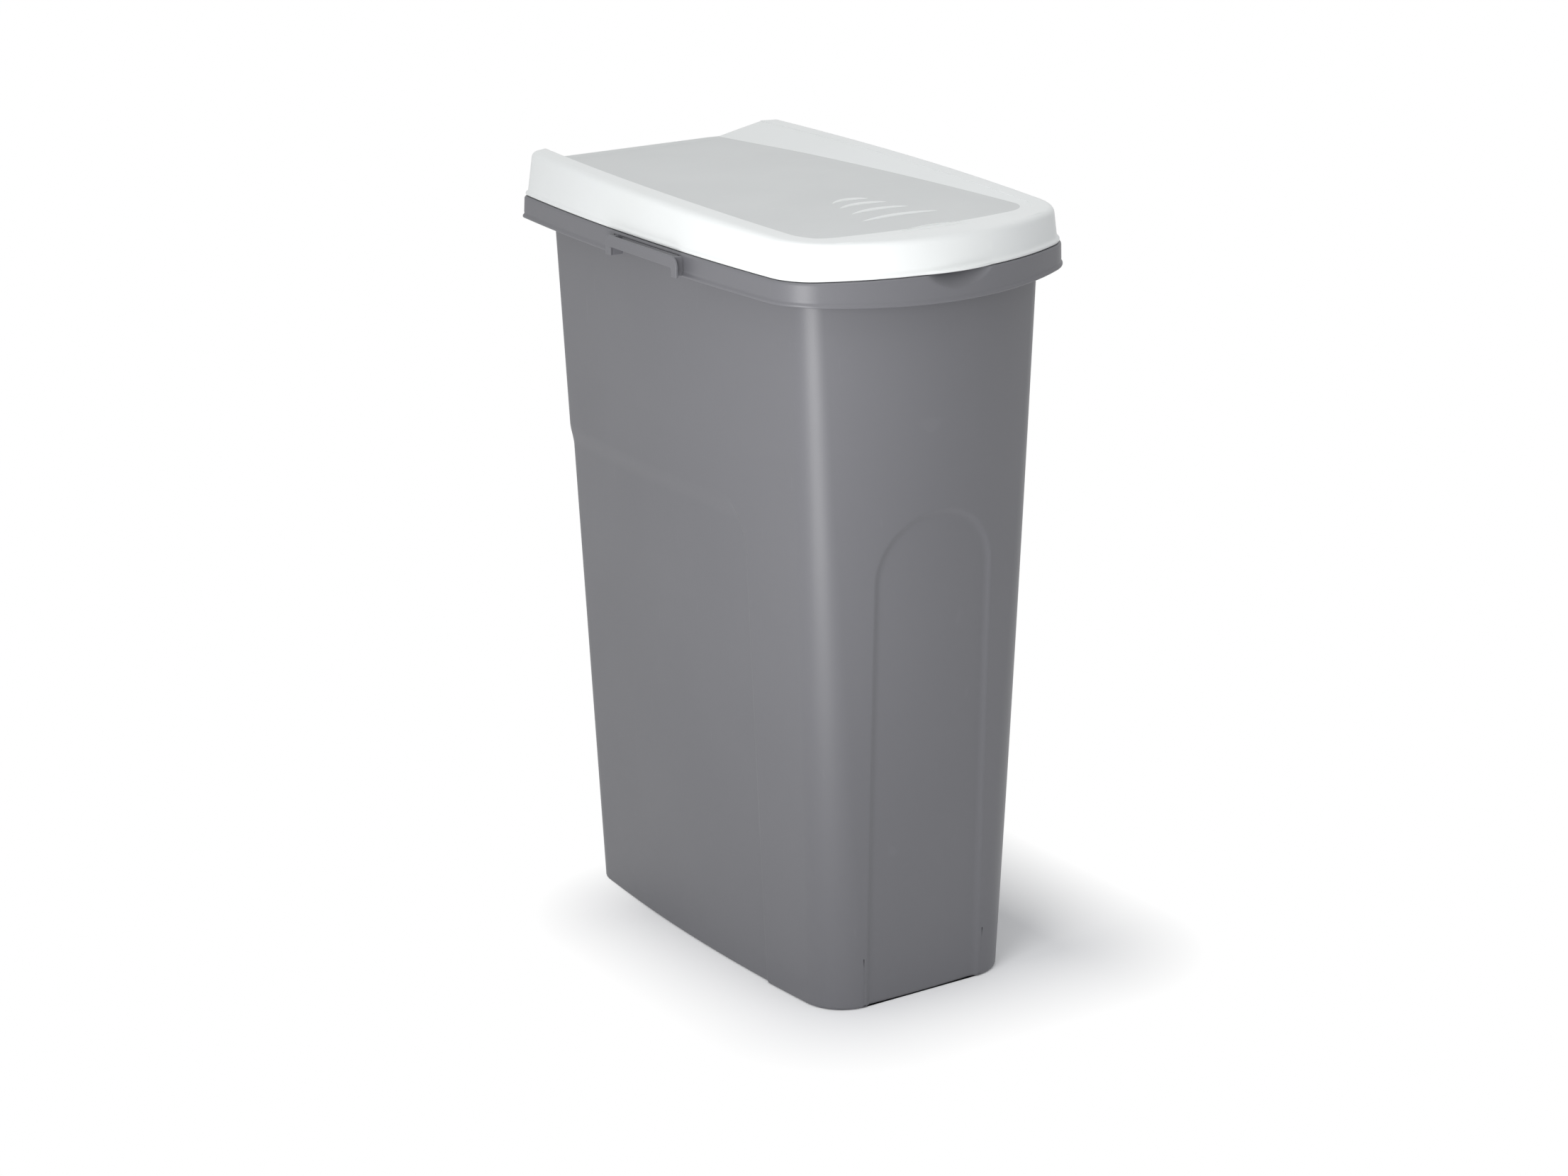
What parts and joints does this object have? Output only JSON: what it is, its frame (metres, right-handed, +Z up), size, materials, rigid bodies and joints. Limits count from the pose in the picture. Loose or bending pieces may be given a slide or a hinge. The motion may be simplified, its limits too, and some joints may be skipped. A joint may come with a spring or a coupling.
{
  "type": "trash can",
  "caption": "Slim tapering kitchen bin with a hinged lid, turned-down rim, thumb scoop and a side strap that couples it to a neighbour.",
  "frame": {"origin": "middle of the flat base, on the floor", "axes": "+Z up, the front with the thumb scoop at -Y, +X along the width; the coupling strap is at -X and the lid hinge at +Y"},
  "size_m": [0.2694, 0.4245, 0.6001],
  "materials": {
    "tub_plastic": "satin moulded polypropylene, slate grey",
    "lid_plastic": "satin moulded polypropylene, white",
    "pin_plastic": "plain moulded plastic, grey"
  },
  "bodies": {
    "tub": {"tub": "tub_plastic", "left_hinge_pin": "pin_plastic", "right_hinge_pin": "pin_plastic"},
    "lid": {"lid": "lid_plastic"}
  },
  "joints": [
    {"name": "lid_hinge", "type": "hinge", "parent": "tub", "child": "lid", "pos_m": [0, 0.1997, 0.56], "axis": [-1, 0, 0], "range_deg": [0, 105]}
  ]
}
